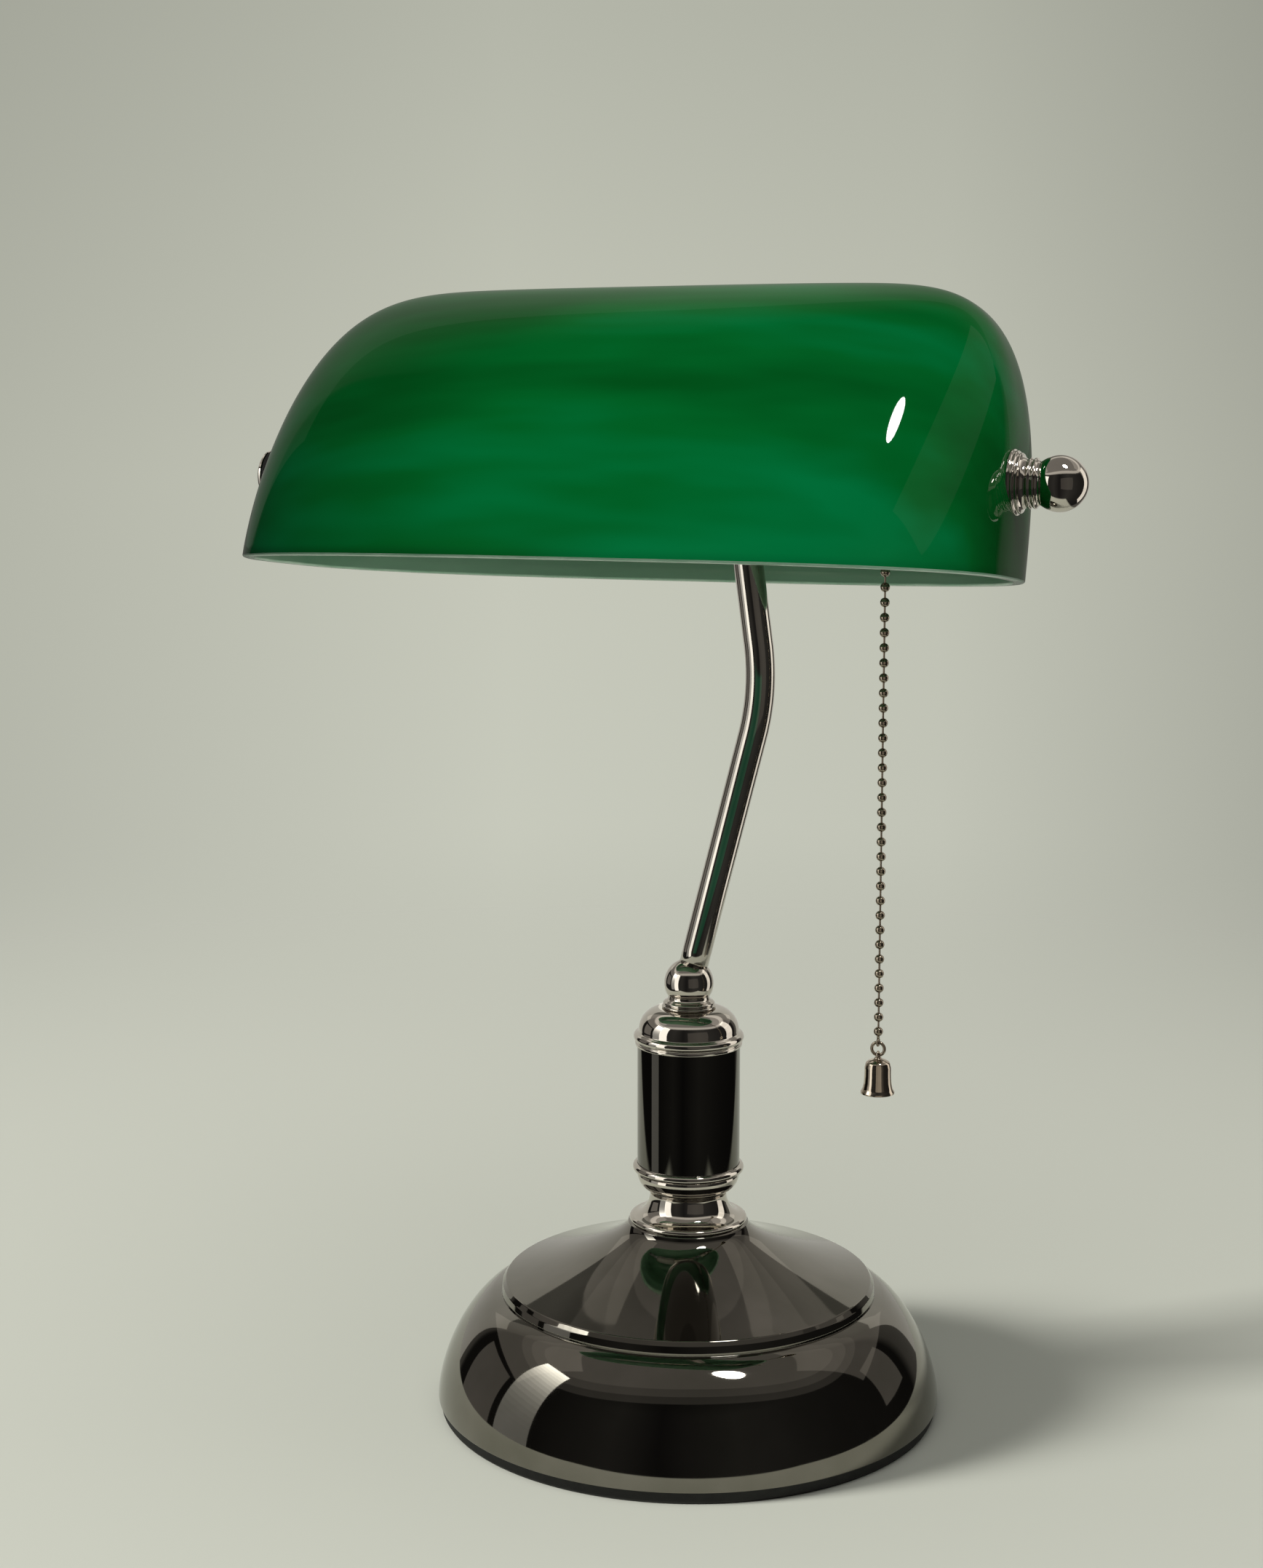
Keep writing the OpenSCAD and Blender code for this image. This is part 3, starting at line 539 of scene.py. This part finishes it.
rows, lipStart, lipEnd = shadeGrid()
rows[..., 2] -= shade["axisUp"]
tilt = math.radians(shade["tilt"])
y = rows[..., 1] * math.cos(tilt) + rows[..., 2] * math.sin(tilt)
z = -rows[..., 1] * math.sin(tilt) + rows[..., 2] * math.cos(tilt)
grid = np.stack([rows[..., 0] * mm + shadeX, y * mm, z * mm + tiltAxisZ], -1)
mesh = gridMesh("glassShade", grid)
for finish in (finishes["green_glass"], lining, lip):
    mesh.materials.append(finish)
row = np.arange(len(mesh.polygons)) // grid.shape[1]
indices = np.where(row < lipStart - 1, 1, np.where(row < lipEnd, 2, 0))
mesh.polygons.foreach_set("material_index", indices)
closing = bmesh.new()
closing.from_mesh(mesh)
openEdges = [e for e in closing.edges if e.is_boundary]
bmesh.ops.holes_fill(closing, edges=openEdges)
closing.faces.ensure_lookup_table()
between = tiltAxisZ + (shade["height"] - shade["axisUp"] - 2) * mm * 0.97  # inside the wall at the top
for face in closing.faces[len(indices):]:
    face.material_index = 0 if face.calc_center_median().z > between else 1
closing.to_mesh(mesh)
closing.free()
glassShade = addPiece("glassShade", mesh, "green_glass", "shade", ["glass_shade"])
print("shade made")


# ---- knob ----

def knobOutline():
    # flange, falling ridges, two small rings, a short neck and a ball, drawn from the glass outwards
    ballAt, ball = 16.05, 9.15
    meet = 180 - math.degrees(math.asin(7.2 / ball))
    parts = [
        [(0, 0), (10.0, 0)],
        roundedLine([(10.0, 0, 0), (10.55, 0.05, 0.3), (10.98, 0.8, 0.5), (10.9, 1.5, 0.3), (10.3, 1.75, 0)]),
        arcLine((9.9, 2.3), 0.55, -40, 75, 10),
        [(9.45, 3.08)],
        arcLine((9.2, 3.6), 0.5, -50, 75, 10),
        [(8.6, 4.25), (8.15, 4.9), (7.85, 5.5), (7.72, 6.1)],
        arcLine((7.7, 6.8), 0.5, -60, 60, 10),
        [(7.65, 7.6)],
        arcLine((7.6, 8.5), 0.6, -65, 75, 12),
        [(7.3, 9.4), (7.18, 9.9)],
    ]
    a = np.radians(np.linspace(meet, 0, 48))
    ballRows = np.stack([ball * np.sin(a), ballAt + ball * np.cos(a)], -1)
    return np.concatenate([np.array(p, float) for p in parts] + [ballRows])


low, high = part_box("knob_right")
grid = revolved(knobOutline() * mm, 120, "x")
grid[..., 0] += low.x
grid[..., 2] += (low.z + high.z) / 2
addPiece("knobRight", gridMesh("knobRight", grid), "fitting_nickel", "knob_right_body", ["knob_right"])
print("knob made")


# ---- pull chain and bell ----

chain = {"beadR": 1.6, "pitch": 4.984, "beads": 33, "linkR": 0.42}
low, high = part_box("bead_chain")
chainX = (low.x + high.x) / 2
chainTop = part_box("chain_coupling")
pivotZ = (chainTop[0].z + chainTop[1].z) / 2


def beadOutline():  # a pressed bead: a ball with a small dimple where the link goes in
    a = np.radians(np.linspace(-76, 76, 15))
    ball = np.stack([chain["beadR"] * np.cos(a), chain["beadR"] * np.sin(a)], -1)
    lower = np.array([[0, -chain["beadR"] * 0.9]])
    return np.concatenate([lower, ball, -lower]) * mm


def chainMesh():
    bead = revolved(beadOutline(), 24)
    height = pivotZ - chain["pitch"] * mm * np.arange(1, chain["beads"] + 1)
    meshes = []
    for z in height:
        meshes.append(gridMesh("bead", bead + [chainX, 0, z]))
    ends = np.concatenate([[pivotZ], height])
    for upper, lower in zip(ends[:-1], ends[1:]):
        link = np.array([[chain["linkR"] * mm, lower], [chain["linkR"] * 0.8 * mm, (lower + upper) / 2],
                         [chain["linkR"] * mm, upper]])
        meshes.append(gridMesh("link", revolved(link, 10) + [chainX, 0, 0]))
    joined = bmesh.new()
    for mesh in meshes:
        joined.from_mesh(mesh)
        bpy.data.meshes.remove(mesh)
    return joined, height[-1]


def loopGrid(major, minor, centre, axis):  # a ring of wire: a small circle carried round a large one
    a = np.linspace(0, 2 * math.pi, 48, endpoint=False)[:, None]
    b = np.linspace(0, 2 * math.pi, 20, endpoint=False)[None, :]
    r = major + minor * np.cos(b)
    flat = np.stack([r * np.cos(a), r * np.sin(a), minor * np.sin(b) + 0 * a], -1)
    order = {"x": [2, 0, 1], "y": [1, 2, 0]}[axis]
    return flat[..., order][:, ::-1] * mm + centre


joined, lastBead = chainMesh()
ringLow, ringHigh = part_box("end_ring")
ringZ = (ringLow.z + ringHigh.z) / 2
eye = gridMesh("eye", loopGrid(1.1, 0.4, [chainX, 0, ringZ + 2.2 * mm], "x"), wrapRows=True)
joined.from_mesh(eye)
stub = np.array([[0, ringZ + 3.0 * mm], [0.5 * mm, ringZ + 3.1 * mm], [0.5 * mm, lastBead - 1.3 * mm]])
joined.from_mesh(gridMesh("stub", revolved(stub, 12) + [chainX, 0, 0]))
mesh = bpy.data.meshes.new("beadChain")
joined.to_mesh(mesh)
joined.free()
addPiece("beadChain", mesh, "chain_nickel", "chain", ["bead_chain"])

ringGrid = loopGrid(2.2, 0.55, [chainX, 0, ringZ], "y")
addPiece("endRing", gridMesh("endRing", ringGrid, wrapRows=True), "chain_nickel", "ring", ["end_ring"])

low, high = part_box("bell")
bellTop = low.z / mm + 11.9  # the shoulder, over the mouth
bellSide = roundedLine([
    (5.1, -11.9, 0), (5.72, -11.9, 0.1), (5.75, -11.4, 0.25), (5.1, -10.2, 2.0), (4.7, -8.4, 4.0),
    (4.55, -6, 6.0), (4.5, -3, 2.5), (4.0, -1.0, 1.6), (2.6, -0.3, 1.0), (1.25, 0.1, 0.5),
    (1.1, 0.7, 0.3), (0, 0.8, 0)
])
bellInner = roundedLine([
    (0, -1.0, 0), (3.3, -1.3, 1.5), (3.85, -3.2, 2.0), (3.9, -6.2, 4.0), (4.05, -9.0, 3.0),
    (4.5, -10.8, 2.0), (5.1, -11.9, 0)
])
joined = bmesh.new()
bellGrid = revolved(np.concatenate([bellInner[:-1], bellSide]) * mm, 64) + [chainX, 0, bellTop * mm]
joined.from_mesh(gridMesh("bellBody", bellGrid))
joined.from_mesh(gridMesh("bellEye", loopGrid(1.1, 0.4, [chainX, 0, ringZ - 2.2 * mm], "x"), wrapRows=True))
mesh = bpy.data.meshes.new("pullBell")
joined.to_mesh(mesh)
joined.free()
addPiece("pullBell", mesh, "bell_nickel", "bell_body", ["bell"])
print("chain and bell made")


# ---- studio ----

turn = math.radians(studio["turn"])
right = Vector((math.cos(turn), math.sin(turn), 0))
away = Vector((-math.sin(turn), math.cos(turn), 0))


def alongWay(tree, place, way):  # how far a place lies along a direction
    return addNode(tree, "VectorMath", {1: way[:]}, {0: place}, operation="DOT_PRODUCT").outputs["Value"]


def studioPoint(across, depth, height):  # metres to the right of, behind and above the lamp's foot
    return right * across + away * depth + Vector((0, 0, height))


def softLight(name, azimuth, elevation, distance, size, radiance, colour="#ffffff",
              target=(0, 0, 0.2), **shows):
    # azimuth counts from the camera towards the right; the light looks at its target
    target = Vector(target)
    a, e = math.radians(azimuth), math.radians(elevation)
    level = right * math.sin(a) - away * math.cos(a)
    out = level * math.cos(e) + Vector((0, 0, math.sin(e)))
    data = bpy.data.lights.new(name, "AREA")
    data.shape = "ELLIPSE" if shows.pop("round", False) else "RECTANGLE"
    data.size, data.size_y = size
    area = size[0] * size[1] * (math.pi / 4 if data.shape == "ELLIPSE" else 1)
    data.energy = radiance * math.pi * area
    data.color = linear(colour)[:3]
    light = bpy.data.objects.new(name, data)
    light.location = target + out * distance
    light.rotation_mode = "QUATERNION"
    roll = Quaternion((0, 0, 1), math.radians(shows.pop("roll", 0)))
    light.rotation_quaternion = (-out).to_track_quat("-Z", "Y") @ roll
    light.visible_camera = False
    for kind, seen in shows.items():
        setattr(light, "visible_" + kind, seen)
    bpy.context.scene.collection.objects.link(light)
    return light


def linked(lights, name, pieces):  # lights that only these pieces show
    group = bpy.data.collections.new(name)
    for piece in pieces:
        group.objects.link(piece)
    for light in lights:
        light.light_linking.receiver_collection = group


solids = [o for o in bpy.context.scene.objects if o.type == "MESH"]
metals = [o for o in solids if o != glassShade]


def finishedIn(pieces, *slots):  # the pieces whose first material is one of these
    return [o for o in pieces if o.data.materials[0] in [finishes[slot] for slot in slots]]


bright = finishedIn(metals, "fitting_nickel", "stem_nickel", "chain_nickel", "bell_nickel")
stemParts = finishedIn(bright, "stem_nickel")
chainParts = finishedIn(bright, "chain_nickel", "bell_nickel")
low = (0, 0, 0.03)

# what polished metal shows: a tall strip on the left, brightest at its top, a grey ceiling,
# walls and side panels
strip = {"azimuth": -81, "distance": 0.6, "width": 0.21, "foot": -0.1, "top": 0.56, "steps": 22}
height = (strip["top"] - strip["foot"]) / strip["steps"]
panels = []
for k in range(strip["steps"]):
    u = (k + 0.5) / strip["steps"]
    middle = (0, 0, strip["foot"] + (k + 0.5) * height)
    panels.append(softLight("stripPanel%d" % k, strip["azimuth"], 0, strip["distance"],
                            (strip["width"], height), 0.35 + 5.5 * u ** 4, "#fffefa", middle,
                            diffuse=False))
for name, distance, size in (("Near", 1.6, (3.4, 2.0)), ("", 1.61, (4.2, 2.6)), ("Wide", 1.62, (5.0, 3.2))):
    panels.append(softLight("ceilingPanel" + name, 0, 89.9, distance, size, 0.07, "#fff8f0",
                            (0, 0, 0), round=True, diffuse=False))
panels += [
    softLight("sidePanelLeft", -120, 42, 1.5, (1.5, 1.0), 0.2, "#fff8f0", low, diffuse=False),
    softLight("sidePanelRight", 122, 42, 1.5, (1.5, 1.0), 0.17, "#fff8f0", low, diffuse=False),
    softLight("wallPanelLeft", -158, 8, 1.8, (1.5, 1.6), 0.4, "#fffdf4", low, diffuse=False),
    softLight("wallPanelRight", 160, 8, 1.8, (1.5, 1.6), 0.42, "#fffdf4", low, diffuse=False),
    softLight("greyPanelLeft", -111, 8, 1.4, (0.62, 0.62), 0.17, "#fff8f0", low, diffuse=False),
    softLight("greyPanelRight", 107, 15, 1.4, (0.45, 0.55), 0.17, "#fff8f0", low, diffuse=False),
    softLight("roundPanel", 45, 70, 1.5, (0.26, 0.4), 30, target=(0.03, -0.03, 0.2), round=True,
              diffuse=False),
]
linked(panels, "shownByMetal", metals)
sheens = [
    softLight("ceilingSheen", 0, 89.9, 1.6, (4.4, 3.0), 0.45, "#fffaf2", (0, 0, 0), round=True,
              diffuse=False),
    softLight("leftSheen", -62, 0, 0.7, (0.24, 0.9), 1.7, "#fffdf8", (0, 0, 0.25), diffuse=False),
    softLight("rightSheen", 104, 0, 0.7, (0.26, 0.9), 1.1, "#fffaf2", (0, 0, 0.25), diffuse=False),
    softLight("frontSheen", 20, 5, 1.5, (1.3, 1.2), 0.05, "#fff4e8", (0, 0, 0.2), diffuse=False),
]
linked(sheens, "shownByBrightMetal", bright)
linked([softLight("beadSheen", 5, 0, 1.2, (1.0, 1.4), 0.32, "#fff4e4", (0, 0, 0.2), diffuse=False)],
       "shownByChain", chainParts)
# the green of the shade, as the stem shows it
linked([softLight("greenSheen", -12, 0, 0.3, (0.28, 0.17), 0.24, "#1f8f66", (0, 0, 0.145), diffuse=False)],
       "shownByStem", stemParts)
# what the glass shows: the round panel as a narrow spot, and a wide grey one past its right end
glassLights = [
    softLight("roundPanelGlass", 52, 73.5, 1.5, (0.085, 0.32), 36, target=(0.03, -0.03, 0.3), round=True,
              roll=-52, diffuse=False),
    softLight("sidePanelGlass", 84, 47, 1.5, (1.9, 0.8), 0.13, "#ecf6ec", (0.06, 0, 0.33), diffuse=False),
    softLight("wallPanelGlass", 178, 25, 1.5, (3.4, 1.3), 0.07, "#d8f6da", (0, 0, 0.33), diffuse=False),
    softLight("overheadFill", 15, 66, 2.2, (1.6, 1.2), 4.3, "#fdfff8", (0, 0, 0.3), glossy=False),
    softLight("lowFill", 15, -12, 1.1, (1.0, 0.1), 6.0, "#fdfff8", (0, 0, 0.3), glossy=False),
]
linked(glassLights, "shownByGlass", [glassShade])
# light for the floor: the key from the left makes the shadow, and the fill above lightens it
floorLights = [
    softLight("floorKey", -76, 24, 7.0, (1.9, 1.9), 67, "#fffefb", (0, 0, 0), glossy=False),
    softLight("floorFill", 0, 80, 2.6, (3.0, 3.0), 1.3, "#fffffd", (0, 0, 0), glossy=False),
]

cameraData = bpy.data.cameras.new("studioCamera")
cameraData.sensor_width = 36
cameraData.lens = studio["focal"]
camera = bpy.data.objects.new("studioCamera", cameraData)
cx, cy, cz = studio["camera"]
camera.location = studioPoint(cx * mm, cy * mm, cz * mm)
pitch = math.radians(studio["pitch"])
look = away * math.cos(pitch) - Vector((0, 0, math.sin(pitch)))
camera.rotation_mode = "QUATERNION"
camera.rotation_quaternion = look.to_track_quat("-Z", "Y")
bpy.context.scene.collection.objects.link(camera)
bpy.context.scene.camera = camera

floorRings = np.linspace(0, 1, 24)[:, None] ** 1.5 * 1.5
a = np.linspace(0, 2 * math.pi, 96, endpoint=False)
floorGrid = np.stack([floorRings * np.cos(a), floorRings * np.sin(a), 0 * floorRings * a], -1)
floorMesh = gridMesh("studioFloor", floorGrid)
paper = {"Base Color": linear("#c6c8bd"), "Roughness": 0.85, "Specular IOR Level": 0.15}
floorMaterial, tree, shader, place = newMaterial("palePaperSweep", paper)
reach = addNode(tree, "VectorMath", {}, {0: place}, operation="LENGTH").outputs["Value"]
behind = alongWay(tree, place, away)
across = alongWay(tree, place, right)
apart = addNode(tree, "Math", {}, {0: across}, operation="ABSOLUTE").outputs[0]
breadth = addNode(tree, "Math", {1: 0.27, 2: 0.29}, {0: behind}, operation="MULTIPLY_ADD").outputs[0]
beside = addNode(tree, "Math", {}, {0: breadth, 1: apart}, operation="SUBTRACT").outputs[0]
# the sheet fades out far away, in front of the lamp and to both sides
farFade = {"From Min": 0.3, "From Max": 1.3, "To Min": 1.0, "To Max": 0.0}
cover = addNode(tree, "MapRange", farFade, {"Value": reach},
                interpolation_type="SMOOTHSTEP").outputs["Result"]
for distance, first, last in ((behind, -0.25, -0.2), (beside, 0.0, 0.03)):
    fade = addNode(tree, "MapRange", {"From Min": first, "From Max": last}, {"Value": distance},
                   interpolation_type="SMOOTHSTEP").outputs["Result"]
    cover = addNode(tree, "Math", {}, {0: cover, 1: fade}, operation="MULTIPLY").outputs[0]
tree.links.new(cover, shader.inputs["Alpha"])
floorMesh.materials.append(floorMaterial)
floor = bpy.data.objects.new("studioFloor", floorMesh)
bpy.context.scene.collection.objects.link(floor)
linked(floorLights, "litFloor", [floor])

# the room: pale behind, dark in front and beside, so that polished pieces have something to show
world = bpy.data.worlds.new("studioRoom")
bpy.context.scene.world = world
world.use_nodes = True
tree = world.node_tree
direction = addNode(tree, "TexCoord").outputs["Generated"]
sideways = alongWay(tree, direction, right)
towards = alongWay(tree, direction, -away)
bearing = addNode(tree, "Math", {}, {0: sideways, 1: towards}, operation="ARCTAN2").outputs[0]
turned = spread(tree, bearing, 0.0, 1.0, -math.pi, math.pi)


def toneRamp(tree, factor, stops):  # several tones along a factor
    ramp = addNode(tree, "ValToRGB", {}, {"Fac": factor})
    line = ramp.color_ramp
    line.elements[0].position, line.elements[0].color = stops[0][0], linear(stops[0][1])
    line.elements[1].position, line.elements[1].color = stops[-1][0], linear(stops[-1][1])
    for position, tone in stops[1:-1]:
        line.elements.new(position).color = linear(tone)
    return ramp.outputs["Color"]


roomTone = toneRamp(tree, turned, [
    (0.0, "#72716b"), (0.1, "#64635e"), (0.125, "#504e4a"), (0.13, "#1e1d1c"), (0.3, "#242322"),
    (0.4, "#363533"), (0.46, "#201f1f"), (0.56, "#3a3937"), (0.7, "#2a2928"), (0.845, "#1e1d1c"),
    (0.86, "#55534f"), (0.93, "#686761"), (1.0, "#72716b")
])
up = addNode(tree, "SeparateXYZ", {}, {0: direction}).outputs["Z"]
high = spread(tree, up, 0.0, 1.0, 0.6, 0.85)
room = addNode(tree, "Mix", {"B": linear("#1a1a19")}, {"Factor": high, "A": roomTone}, data_type="RGBA")
# painted light on the backdrop: the wall seen straight on is brightest low down and a little left of the
# middle, and darker to the right, the left and the top, as the light falls off
sideShare = spread(tree, sideways, 0.0, 1.0, -0.25, 0.25)
sideTones = [(0.0, "#e9e9e9"), (0.4, "#ffffff"), (0.75, "#f8f8f8"), (1.0, "#dcdcdc")]
upShare = spread(tree, up, 0.0, 1.0, -0.45, 0.16)
upTones = [(0.0, "#d0d2c5"), (0.35, "#c8cabd"), (0.7, "#c5c7b9"), (1.0, "#b4b6a9")]
sideTone, upTone = toneRamp(tree, sideShare, sideTones), toneRamp(tree, upShare, upTones)
wall = addNode(tree, "Mix", {"Factor": 1.0}, {"A": upTone, "B": sideTone}, data_type="RGBA",
               blend_type="MULTIPLY")
isCamera = addNode(tree, "LightPath").outputs["Is Camera Ray"]
sights = {"Factor": isCamera, "A": room.outputs["Result"], "B": wall.outputs["Result"]}
seen = addNode(tree, "Mix", {}, sights, data_type="RGBA")
tree.links.new(seen.outputs["Result"], tree.nodes["Background"].inputs["Color"])
bpy.context.scene.view_settings.view_transform = "Standard"
print("studio made")
